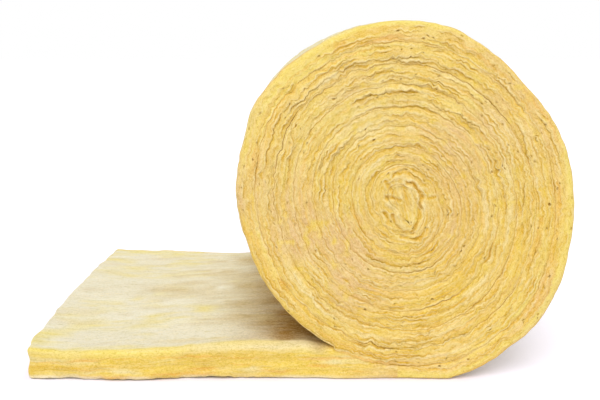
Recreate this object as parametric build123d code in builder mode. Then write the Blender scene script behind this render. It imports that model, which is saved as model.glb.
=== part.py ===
from build123d import *
import math
import os

# A glass wool insulation blanket: one long sheet wound into a roll, its outer end laid out flat.
# The laid-out end points to -X, the roll's axis runs along Y, and Z is up.
# The origin is on the underside, straight below the roll's axis, at half the blanket's width.

# Blanket
blanket_width = 600.0
blanket_thickness = 50.0
edge_rounding = 7.0
rim_bevel = 5.0

# Roll: the spiral runs inward from its outermost point at the floor, first to +X, then up
outer_radius = 272.5
turn_pitch = 29.0
core_radius = 13.0
oval_share = 0.056
oval_tilt = 23.0
floor_flattening = 8.5

# Folded start of the blanket at the core, where the turns are much narrower than tall
core_oval_share = 0.95
core_oval_reach = 20.0

# Laid-out end, with a dip and a rise in its top
tail_length = 570.0
tail_dip = 3.0
tail_dip_place = 0.74
tail_rise = 6.0
tail_rise_place = 0.49

# Gap between the turns, a groove in both ends of the roll
gap_width = 5.0
gap_depth = 14.0

# How closely the arcs follow the spiral
arcs_per_turn = 12


def wound_radius(angle):
    """Distance from the roll's axis to the spiral, after this many degrees of winding inward."""
    round_radius = outer_radius - turn_pitch * angle / 360
    oval = oval_share + core_oval_share * math.exp(-round_radius / core_oval_reach)
    return round_radius * (1 + oval * math.cos(2 * math.radians(angle - oval_tilt)))


# The roll sinks in a little where it lies, so its axis is lower than its radius there
axis_height = wound_radius(0) - floor_flattening
core_angle = 360 * (outer_radius - core_radius) / turn_pitch


def spiral_point(angle, shift=0.0):
    """A point of the spiral in the plane of the roll's end, moved outward by shift."""
    radius = wound_radius(angle) + shift
    turned = math.radians(angle)
    return Vector(radius * math.sin(turned), axis_height - radius * math.cos(turned))


def spiral(start, end, shift=0.0):
    """The spiral from one angle of winding to another, as arcs that run on into each other."""
    count = math.ceil(arcs_per_turn * (end - start) / 360)
    step = (end - start) / count
    heading = spiral_point(start + 0.5, shift) - spiral_point(start - 0.5, shift)
    for number in range(count):
        here = spiral_point(start + number * step, shift)
        there = spiral_point(start + (number + 1) * step, shift)
        arc = TangentArc(here, there, tangent=heading)
        heading = arc % 1


def wedge_turning():
    """The angle at which the first turn comes down onto the top of the laid-out end."""
    low, high = 270.0, 360.0
    while high - low > 0.001:
        middle = (low + high) / 2
        if spiral_point(middle).Y > blanket_thickness:
            low = middle
        else:
            high = middle
    return low


wedge_angle = wedge_turning()
wedge_place = spiral_point(wedge_angle)

# The laid-out end runs on under the roll, past its lowest point, where it turns up
strip_end = 0.1 * outer_radius

# Turns of the roll, pressed together into one body with the spiral as its outline
with BuildPart() as wound_turns:
    with BuildSketch(Plane.XZ):
        with BuildLine():
            spiral(0, 360)
            Line(spiral_point(360), spiral_point(0))
        make_face()
    extrude(amount=blanket_width / 2, both=True)
    roll_ends = wound_turns.faces().filter_by(Axis.Y)
    chamfer(roll_ends.edges(), rim_bevel)

# Laid-out end
with BuildPart() as laid_out_end:
    with BuildSketch(Plane.XZ):
        with BuildLine():
            Polyline(
                (-tail_length, blanket_thickness),
                (-tail_length, 0),
                (strip_end, 0),
                (strip_end, blanket_thickness),
            )
            Spline(
                (-tail_length, blanket_thickness),
                (-tail_length * tail_dip_place, blanket_thickness - tail_dip),
                (-tail_length * tail_rise_place, blanket_thickness + tail_rise),
                wedge_place,
                (strip_end, blanket_thickness),
            )
        make_face()
    extrude(amount=blanket_width / 2, both=True)
    top = laid_out_end.faces().sort_by(Axis.Z)[-1]
    fillet(top.edges().sort_by(Axis.X)[:-1], edge_rounding)

# Gap between the turns at the near end, from where it opens above the laid-out end to the core
with BuildPart() as turn_gap:
    with BuildSketch(Plane.XZ.offset(blanket_width / 2)):
        with BuildLine():
            spiral(wedge_angle, core_angle, gap_width / 2)
            Line(spiral_point(core_angle, gap_width / 2), spiral_point(core_angle, -gap_width / 2))
            spiral(wedge_angle, core_angle, -gap_width / 2)
            Line(spiral_point(wedge_angle, -gap_width / 2), spiral_point(wedge_angle, gap_width / 2))
        make_face()
    extrude(amount=-gap_depth)

# The whole blanket, in one piece
with BuildPart() as blanket:
    add(wound_turns.part)
    add(laid_out_end.part)
    split(bisect_by=Plane.XY, keep=Keep.TOP)
    add(turn_gap.part, mode=Mode.SUBTRACT)
    add(mirror(turn_gap.part, about=Plane.XZ, mode=Mode.PRIVATE), mode=Mode.SUBTRACT)

blanket.part.label = "glass_wool_blanket"
os.makedirs("parts", exist_ok=True)
export_step(blanket.part, "parts/glass_wool_blanket.step")
print("volume", round(blanket.part.volume / 1e9, 4), "m3, solids", len(blanket.part.solids()))
print("valid", blanket.part.is_valid, blanket.part.bounding_box())
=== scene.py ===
import math

import bpy
import numpy as np
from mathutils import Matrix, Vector

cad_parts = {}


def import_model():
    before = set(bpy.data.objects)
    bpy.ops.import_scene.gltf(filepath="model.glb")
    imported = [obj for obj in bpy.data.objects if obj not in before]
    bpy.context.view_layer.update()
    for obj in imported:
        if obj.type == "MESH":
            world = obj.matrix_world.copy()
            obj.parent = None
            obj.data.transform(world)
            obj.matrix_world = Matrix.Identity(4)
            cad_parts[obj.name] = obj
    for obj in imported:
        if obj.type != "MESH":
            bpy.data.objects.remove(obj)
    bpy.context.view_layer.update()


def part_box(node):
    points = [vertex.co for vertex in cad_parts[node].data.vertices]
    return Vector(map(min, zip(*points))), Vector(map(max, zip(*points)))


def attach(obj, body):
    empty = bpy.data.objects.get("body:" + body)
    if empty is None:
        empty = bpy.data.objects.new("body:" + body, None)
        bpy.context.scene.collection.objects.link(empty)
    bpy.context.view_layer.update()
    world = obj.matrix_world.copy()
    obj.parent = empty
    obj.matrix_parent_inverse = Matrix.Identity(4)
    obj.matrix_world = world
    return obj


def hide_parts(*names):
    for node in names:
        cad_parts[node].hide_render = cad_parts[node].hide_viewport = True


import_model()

# An unfaced glass wool blanket, wound into a roll that lies on its side, its outer end laid out flat.
# Lengths are in metres. "Along" is the way round the spiral, "inward" is from the outer skin of the
# sheet towards its inner skin, and "across" is over the blanket's width, along Y.

NODE = "glass_wool_blanket"
low_corner, high_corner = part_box(NODE)

# Blanket
WIDTH = high_corner[1] - low_corner[1]
THICKNESS = 0.050
TAIL_LENGTH = -low_corner[0]

# Spiral of the roll, wound inward from its outermost point at the floor, first to +X, then up
TURN = 2 * math.pi
OUTER_RADIUS = 0.2725
TURN_PITCH = 0.029
CORE_RADIUS = 0.013
OVAL_SHARE = 0.056
OVAL_TILT = math.radians(23)
CORE_OVAL_SHARE = 0.95
CORE_OVAL_REACH = 0.020
FLOOR_FLATTENING = 0.0085

# Folded start of the blanket, a tongue in the core: half its length, half its width, its lean and
# how far its middle lies from the roll's axis
TONGUE = (0.030, -0.0002, math.radians(14), 0.006)

# Folds on the ends in the core, each as places in millimetres from the axis, and how deep a groove it
# is, or below zero how high a ridge
CORE_FOLDS = [
    ([(8, 35), (16, 32), (25, 21), (30, 11), (29, -3), (25, -19), (22, -33), (17, -41)], 1.3),
    ([(29, 13), (40, 11), (48, 12)], 0.6),
    ([(-22, 12), (-10, 11), (-3, 8)], 0.7),
    ([(-23, 36), (-16, 24), (-12, 8), (-8, -10)], 0.5),
    ([(-27, -12), (-15, -29), (-6, -39), (2, -47), (15, -51), (28, -49), (37, -34)], 1.0),
    ([(-14, -17), (-7, -31), (2, -40), (9, -43), (19, -41)], 1.1),
    ([(3, 30), (6, 12), (7, -6)], 0.4),
    ([(-12, 46), (2, 50), (13, 45), (23, 35), (34, 29)], 0.5),
    ([(-21, 3), (-11, -3), (-3, -19), (5, -33), (13, -37)], -1.2),
    ([(12, 27), (18, 8), (17, -26)], -1.1),
    ([(-8, 38), (-6, 24), (-2, 14)], -0.7),
]

# Patches of colour on the near end: places in millimetres from the axis, half their width, how strong
PALE_PATCHES = [
    ([(-100, 195), (-133, 168), (-165, 135)], 5, 0.8),
    ([(-89, -195), (-43, -202), (3, -207), (64, -197), (109, -177)], 4, 0.7),
    ([(-75, -86), (-42, -106), (1, -114), (38, -108)], 4, 0.6),
    ([(40, 196), (85, 180), (125, 150)], 4, 0.7),
    ([(-45, 178), (-10, 182), (30, 176)], 4, 0.6),
]
BRIGHT_PATCHES = [
    ([(-124, 142), (-121, 138)], 5, 0.9),
    ([(-22, -20), (-12, -34), (-3, -43)], 5, 1.0),
    ([(24, -8), (21, -30), (14, -44)], 5, 0.7),
    ([(-132, 171), (-128, 166)], 4, 0.7),
    ([(60, 150), (92, 118), (105, 96)], 4, 0.7),
    ([(-168, 60), (-176, 22), (-176, -12)], 5, 0.5),
    ([(64, -160), (100, -128), (126, -92)], 5, 0.6),
]
ORANGE_PATCHES = [
    ([(-101, 234), (-90, 240)], 5, 0.8),
    ([(177, 156), (184, 146)], 5, 0.8),
    ([(-174, -114), (-166, -124)], 5, 0.8),
    ([(206, -21), (205, -60), (196, -92)], 5, 0.6),
    ([(228, 40), (232, 4), (230, -30)], 4, 0.6),
    ([(-212, 82), (-222, 44)], 4, 0.6),
]

# Where the roll's outline bulges or is pressed in: degrees of winding, millimetres out, degrees wide
OUTLINE_LUMPS = [
    (32, 2.5, 14), (57, 5.0, 14), (86, 2.5, 10), (108, 6.5, 16), (136, -1.5, 10), (167, 3.0, 9),
    (206, -4.0, 18), (234, 3.5, 8), (268, 3.0, 14), (300, 2.0, 14),
]

# Top of the laid-out end
TAIL_DIP, TAIL_DIP_PLACE = 0.003, 0.74
TAIL_RISE, TAIL_RISE_PLACE = 0.006, 0.49

# Foot of the laid-out end: how far it flares out and lifts off the floor at these places along X
FOOT_FLARE = ([-0.46, -0.43, -0.38, -0.33], [0.001, 0.006, 0.006, 0.001])
FOOT_LIFT = ([-0.57, -0.46, -0.44, -0.37, -0.33, -0.29, -0.24, -0.15], [0.0009, 0.0006, 0.0026, 0.0014, 0.0004, 0.0022, 0.0008, -0.0012])

# Mesh: rows through the sheet at its ends, and columns along it, at this step
ROWS = 28
COLUMN_STEP = 0.0020

NEAR_SEED = 1000
FAR_SEED = 2000
SKIN_SEED = 3000


# Noise
def noise(x, y, seed):
    """Smooth noise from -1 to 1, one bump for each unit of x and y."""
    count = 256
    grid = np.random.default_rng(seed).uniform(-1, 1, (count, count))
    x, y = np.broadcast_arrays(np.asarray(x, float), np.asarray(y, float))
    column = np.floor(x).astype(int)
    row = np.floor(y).astype(int)
    u = x - column
    v = y - row
    u = u * u * (3 - 2 * u)
    v = v * v * (3 - 2 * v)
    a = grid[column % count, row % count]
    b = grid[(column + 1) % count, row % count]
    c = grid[column % count, (row + 1) % count]
    d = grid[(column + 1) % count, (row + 1) % count]
    return (a * (1 - u) + b * u) * (1 - v) + (c * (1 - u) + d * u) * v


def rough_noise(x, y, seed):
    """Noise with two finer layers of noise on it."""
    coarse = noise(x, y, seed)
    return (coarse + noise(2 * x, 2 * y, seed + 1) / 2 + noise(4 * x, 4 * y, seed + 2) / 4) / 1.4


def smooth_step(value, start, end):
    share = np.clip((value - start) / (end - start), 0, 1)
    return share * share * (3 - 2 * share)


def quarter_round(distance, radius):
    """How far a rounded edge falls back at this distance from it."""
    reach = np.clip(radius - distance, 0, radius)
    return radius - np.sqrt(radius**2 - reach**2)


# Spiral
def wound_radius(angle):
    round_radius = OUTER_RADIUS - TURN_PITCH * angle / TURN
    oval = OVAL_SHARE + CORE_OVAL_SHARE * np.exp(-round_radius / CORE_OVAL_REACH)
    return round_radius * (1 + oval * np.cos(2 * (angle - OVAL_TILT)))


AXIS_HEIGHT = float(wound_radius(0.0)) - FLOOR_FLATTENING
CORE_ANGLE = TURN * (OUTER_RADIUS - CORE_RADIUS) / TURN_PITCH


def around(angle, radius):
    """Points at these angles and distances from the roll's axis, as x and z."""
    return np.stack([radius * np.sin(angle), AXIS_HEIGHT - radius * np.cos(angle)], -1)


def tongue_points(angle):
    """The middle of the core, where the folded start of the blanket closes on itself."""
    half_length, half_width, lean, shift = TONGUE
    along = half_length * np.cos(angle - lean)
    aside = half_width * np.sin(angle - lean)
    x = shift + along * math.sin(lean) + aside * math.cos(lean)
    z = AXIS_HEIGHT - along * math.cos(lean) + aside * math.sin(lean)
    return np.stack([x, z], -1)


def roll_columns(angle):
    """Outer and inner skin of the sheet at each angle of winding."""
    outer = around(angle, wound_radius(angle))
    share = np.minimum(1, AXIS_HEIGHT / (AXIS_HEIGHT - np.minimum(outer[:, 1], 0)))[:, None]
    centre = np.array([[0, AXIS_HEIGHT]])
    outer = centre + (outer - centre) * share
    inner = around(angle, wound_radius(np.minimum(angle + TURN, CORE_ANGLE)))
    in_core = smooth_step(angle + TURN, CORE_ANGLE - 0.8, CORE_ANGLE + 0.8)[:, None]
    return outer, inner * (1 - in_core) + tongue_points(angle) * in_core


FINE_ANGLES = np.linspace(0, CORE_ANGLE, 40000)
fine_outer, fine_inner = roll_columns(FINE_ANGLES)
fine_middle = fine_outer * 0.7 + fine_inner * 0.3
fine_steps = np.linalg.norm(np.diff(fine_middle, axis=0), axis=1)
FINE_LENGTHS = np.concatenate([[0], np.cumsum(fine_steps)])
ROLL_LENGTH = FINE_LENGTHS[-1]
WEDGE_ANGLE = float(FINE_ANGLES[np.argmax((FINE_ANGLES > 0.75 * TURN) & (fine_outer[:, 1] < THICKNESS))])
WEDGE_X = float(around(WEDGE_ANGLE, wound_radius(WEDGE_ANGLE))[0])


def length_at(angle):
    return np.interp(angle, FINE_ANGLES, FINE_LENGTHS)


def angle_at(length):
    return np.interp(length, FINE_LENGTHS, FINE_ANGLES)


# Cross-sections of the sheet, one for each place along it
class Columns:
    def __init__(self, angle, inner_angle, along, outer, inner):
        """Angles of winding at both skins, places along the sheet, and the skins as x and z."""
        self.angle = angle
        self.inner_angle = inner_angle
        self.along = along
        self.outer = outer
        self.inner = inner
        span = outer - inner
        self.depth = np.linalg.norm(span, axis=1)
        self.outward = span / self.depth[:, None]


def under_the_roll():
    """Where the first turn lies on the laid-out end: angles of winding, and points as x and z."""
    angle = np.linspace(WEDGE_ANGLE, TURN, 400)
    return angle, around(angle, wound_radius(angle))


def tail_top(x):
    """Height of the laid-out end's top, and of the next turn above it where it runs under the roll."""
    knots = [-TAIL_LENGTH, -TAIL_LENGTH * TAIL_DIP_PLACE, -TAIL_LENGTH * TAIL_RISE_PLACE, WEDGE_X]
    heights = [THICKNESS, THICKNESS - TAIL_DIP, THICKNESS + TAIL_RISE, THICKNESS]
    free = np.polyval(np.polyfit(knots, heights, 3), x)
    under = under_the_roll()[1]
    return np.where(x < WEDGE_X, free, np.interp(x, under[:, 0], under[:, 1]))


def laid_out_columns():
    """The laid-out end, from its rounded cut edge to straight below the roll's axis."""
    first = np.array([0, 0.0006, 0.0016, 0.0030, 0.0048, 0.0070, 0.0094])
    count = int((TAIL_LENGTH - first[-1]) / COLUMN_STEP)
    rest = np.linspace(first[-1], TAIL_LENGTH, count)[1:]
    from_end = np.concatenate([first, rest])
    x = from_end - TAIL_LENGTH
    rounded = quarter_round(from_end, 0.006)
    outer = np.stack([x, 0.5 * rounded], -1)
    inner = np.stack([x, tail_top(x) - rounded], -1)
    under_angle, under = under_the_roll()
    return Columns(0 * x, np.interp(x, under[:, 0], under_angle), x, outer, inner)


def wound_columns(start, end):
    """The sheet between two angles of winding."""
    first, last = length_at(start), length_at(end)
    count = int(round((last - first) / COLUMN_STEP))
    along = np.linspace(first, last, count + 1)
    angle = angle_at(along)
    return Columns(angle, angle + TURN, along, *roll_columns(angle))


# Ledges: lines on a roll's end along which the layers outside stand proud of those inside, kinked
# outward here and there where the blanket buckled as it was wound
class Ledge:
    def __init__(self, rng, turned, distance, step, lip, brown, kink, spacing):
        """A ledge through these angles and distances from the axis, in radians and metres."""
        self.turned = np.asarray(turned)
        self.distance = np.asarray(distance)
        self.step = step
        self.lip = lip
        self.brown = brown
        radius = float(self.distance.mean())
        places = []
        place = self.turned[0]
        while place < self.turned[-1]:
            place += rng.uniform(0.6, 1.9) * spacing / radius
            places.append(place)
        self.places = np.array(places)
        self.heights = kink * rng.random(len(places)) ** 1.5
        self.half_widths = spacing * rng.uniform(0.35, 0.75, len(places))
        self.drift = int(rng.integers(1, 100000))

    def at(self, turned, radius):
        """Where the ledge lies at these angles, how far it kinks outward there, and its strength."""
        distance = np.interp(turned, self.turned, self.distance)
        distance = distance + 0.0012 * noise(turned * radius / 0.018, 0.5, self.drift)
        away = np.abs(turned[:, None] - self.places[None, :]) * radius
        tents = self.heights[None, :] * np.clip(1 - away / self.half_widths[None, :], 0, 1)
        length = (self.turned[-1] - self.turned[0]) * radius
        fade = min(0.02, length / 3) / radius
        ends = smooth_step(turned, self.turned[0], self.turned[0] + fade)
        ends = ends * (1 - smooth_step(turned, self.turned[-1] - fade, self.turned[-1]))
        uneven = 0.72 + 0.45 * noise(turned * radius / 0.022, 2.5, self.drift)
        return distance, tents.max(axis=1) * ends, ends * uneven


def follow(start_turned, end_turned, distance, drift=0.0):
    """Angles and distances that follow the layers round from one angle to another."""
    turned = np.linspace(start_turned, end_turned, 12)
    share = (turned - start_turned) / TURN
    oval = 1 + OVAL_SHARE * (np.cos(2 * (turned - OVAL_TILT)) - math.cos(2 * (start_turned - OVAL_TILT)))
    return turned, (distance - TURN_PITCH * share) * oval + drift * (turned - start_turned)


def random_ledges(seed, frills, cracks):
    """Many short frills, pale with a painted highlight on their lips, and some longer cracks that open at their kinks.
    """
    rng = np.random.default_rng(seed)
    ledges = []
    for number in range(frills + cracks):
        is_frill = number < frills
        distance = (0.264 if is_frill else 0.235) * math.sqrt(rng.uniform(0.025, 1.0))
        length = 0.012 + (0.050 if is_frill else 0.130) * rng.random() ** 1.5
        start = rng.uniform(0, TURN)
        turned, distances = follow(start, start + min(length / distance, 1.8), distance, rng.normal(0, 0.006))
        force = rng.random() ** 2
        if is_frill:
            look = (0.0005 + 0.0009 * force, rng.uniform(0.4, 1.0), 0.2 * rng.random())
            bends = (rng.uniform(0.0014, 0.0034), rng.uniform(0.005, 0.009))
        else:
            look = (0.0006 + 0.0011 * force, rng.uniform(0.3, 1.0), 0.15 + 0.7 * force)
            bends = (rng.uniform(0.0018, 0.0050), rng.uniform(0.006, 0.014))
        ledges.append(Ledge(rng, turned, distances, *look, *bends))
    return ledges


def placed_ledge(rng, places, step, lip, brown, kink, spacing):
    """A ledge through these places, each in degrees of winding and millimetres from the axis."""
    turned = np.radians([place[0] for place in places])
    distance = np.array([place[1] for place in places]) / 1000
    order = np.argsort(turned)
    return Ledge(rng, turned[order], distance[order], 0.60 * step, lip, 0.9 * brown, kink, 0.8 * spacing)


def near_ledges():
    """The ledges that stand out on the near end, and many small ones between them."""
    rng = np.random.default_rng(7)
    named = [
        ([(207, 219), (197, 221), (188, 215), (177, 216), (172, 215)], 0.0026, 1.0, 0.9, 0.0042, 0.009),
        ([(168, 214), (158, 210), (149, 206)], 0.0022, 1.0, 0.3, 0.0010, 0.014),
        ([(196, 196), (189, 198), (183, 194), (176, 196)], 0.0020, 0.7, 0.9, 0.0036, 0.013),
        ([(209, 166), (205, 167), (192, 169), (176, 168), (169, 164)], 0.0026, 1.0, 0.9, 0.0038, 0.012),
        ([(168, 161), (165, 155), (155, 153), (146, 158), (130, 160)], 0.0026, 1.0, 0.7, 0.0024, 0.015),
        ([(203, 151), (187, 147), (181, 149)], 0.0024, 0.8, 0.8, 0.0026, 0.011),
        ([(212, 186), (204, 187), (198, 186)], 0.0020, 0.5, 0.5, 0.0022, 0.012),
        ([(229, 208), (240, 184), (256, 172)], 0.0024, 0.5, 0.9, 0.0030, 0.016),
        ([(207, 221), (218, 216), (233, 213)], 0.0026, 1.0, 0.1, 0.0012, 0.022),
        ([(104, 186), (98, 183), (93, 181), (84, 177)], 0.0030, 0.5, 1.0, 0.0036, 0.012),
        ([(132, 205), (120, 200), (108, 194)], 0.0022, 0.8, 0.7, 0.0022, 0.013),
        ([(340, 224), (350, 224), (363, 222), (378, 222), (392, 224)], 0.0034, 1.0, 0.4, 0.0034, 0.011),
        ([(322, 216), (336, 217), (350, 214), (366, 212), (380, 210)], 0.0030, 1.0, 0.4, 0.0032, 0.012),
        ([(318, 236), (332, 238), (348, 240), (362, 238), (376, 236)], 0.0032, 1.0, 0.3, 0.0028, 0.012),
        ([(335, 190), (350, 191), (366, 190)], 0.0024, 1.0, 0.5, 0.0030, 0.010),
        ([(286, 226), (300, 226), (318, 227)], 0.0026, 1.0, 0.2, 0.0020, 0.013),
        ([(30, 190), (42, 196), (56, 196)], 0.0022, 0.9, 0.4, 0.0022, 0.012),
    ]
    return [placed_ledge(rng, *ledge) for ledge in named] + random_ledges(11, 280, 90)


def far_ledges():
    return random_ledges(12, 260, 110)


def in_tongue(columns):
    """Where the inner skin belongs to the tongue in the core."""
    return smooth_step(columns.angle + TURN, CORE_ANGLE - 0.8, CORE_ANGLE + 0.8)


def rim_radius(columns, side):
    """Radius of the sheet's rounded edge on its outer or inner skin."""
    along, angle = columns.along, columns.angle
    uneven = 1 + 0.35 * noise(along / 0.045, 3.3, SKIN_SEED + 21)
    gap = join_gap(columns, side)
    if side == "outer":
        skin = np.where(angle < WEDGE_ANGLE, 0.0075, 0.0002 + 0.0006 * gap)
        by_floor = 0.0045 + 0.004 * smooth_step(noise(along / 0.05, 6.1, SKIN_SEED + 22), -0.1, 0.5)
        return np.where(along < 0.02, by_floor, skin) * uneven
    by_roll = smooth_step(along, -0.40, WEDGE_X - 0.02)
    top = 0.0050 + 0.009 * by_roll
    return np.where(along < WEDGE_X, top, (0.0002 + 0.0006 * gap) * (1 - in_tongue(columns))) * uneven


def join_gap(columns, side):
    """How far the join between two turns has opened on an end: 0 where closed, 1 where open."""
    turned = columns.angle if side == "outer" else columns.angle + TURN
    place = length_at(turned)
    in_core = smooth_step(turned, CORE_ANGLE - 1.6 * TURN, CORE_ANGLE - 1.2 * TURN)
    return smooth_step(noise(place / 0.07, 1.7, SKIN_SEED + 23), 0.25, 0.85) * (1 - in_core)


def blurred(field, columns, rows):
    """The field averaged over this many columns and rows to each side."""
    for axis, reach in ((0, columns), (1, rows)):
        pad = [(0, 0), (0, 0)]
        pad[axis] = (reach + 1, reach)
        total = np.cumsum(np.pad(field, pad, mode="edge"), axis=axis)
        count = field.shape[axis]
        first = np.take(total, np.arange(count), axis=axis)
        last = np.take(total, np.arange(count) + 2 * reach + 1, axis=axis)
        field = (last - first) / (2 * reach + 1)
    return field


def distance_to(x, z, path):
    """Distance from each point to a path of straight lines."""
    nearest = np.full(x.shape, 1.0)
    for (x0, z0), (x1, z1) in zip(path[:-1], path[1:]):
        dx, dz = x1 - x0, z1 - z0
        share = np.clip(((x - x0) * dx + (z - z0) * dz) / (dx * dx + dz * dz), 0, 1)
        nearest = np.minimum(nearest, np.hypot(x - x0 - share * dx, z - z0 - share * dz))
    return nearest


def kinked(place, seed):
    """Sharp kinks along the sheet, many on some stretches of it and few on others."""
    coarse = 1 - 2.5 * np.abs(noise(place / 0.017, 0.5, seed))
    fine = 1 - 2.5 * np.abs(noise(place / 0.008, 1.5, seed))
    amount = 0.35 + 0.65 * smooth_step(noise(place / 0.09, 2.5, seed), -0.4, 0.4)
    return (amount * (coarse + 0.75 * fine))[:, None]


def thin_layers(along, inward, seed):
    """Layers within the sheet, each rising towards its inner side and then falling back to the next: their height from
    -0.5 to 0.5, how strongly a painted highlight shows on each layer's lip, and how strongly painted shade shows in the
    hollow where it falls back."""
    warp = 0.0016 * noise(along / 0.030, inward / 0.009, seed)
    level = (inward + warp) / 0.0047 + 0.35 * noise(along / 0.3, 0.5, seed + 1)
    layer = np.floor(level)
    share = level - layer
    force = smooth_step(noise(along / 0.035, 7.31 * layer, seed + 2), -0.1, 0.65)
    before = smooth_step(noise(along / 0.035, 7.31 * (layer - 1), seed + 2), -0.1, 0.65)
    drop = 0.22
    falling = before * 0.5 + (force * (drop - 0.5) - before * 0.5) * share / drop
    height = np.where(share < drop, falling, force * (share - 0.5))
    lip = force * smooth_step(share, 0.58, 0.78) * (1 - smooth_step(share, 0.84, 0.98))
    hollow = before * np.exp(-(((share - 0.14) / 0.16) ** 2)) + force * smooth_step(share, 0.90, 1.0)
    return height, lip, hollow


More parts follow.
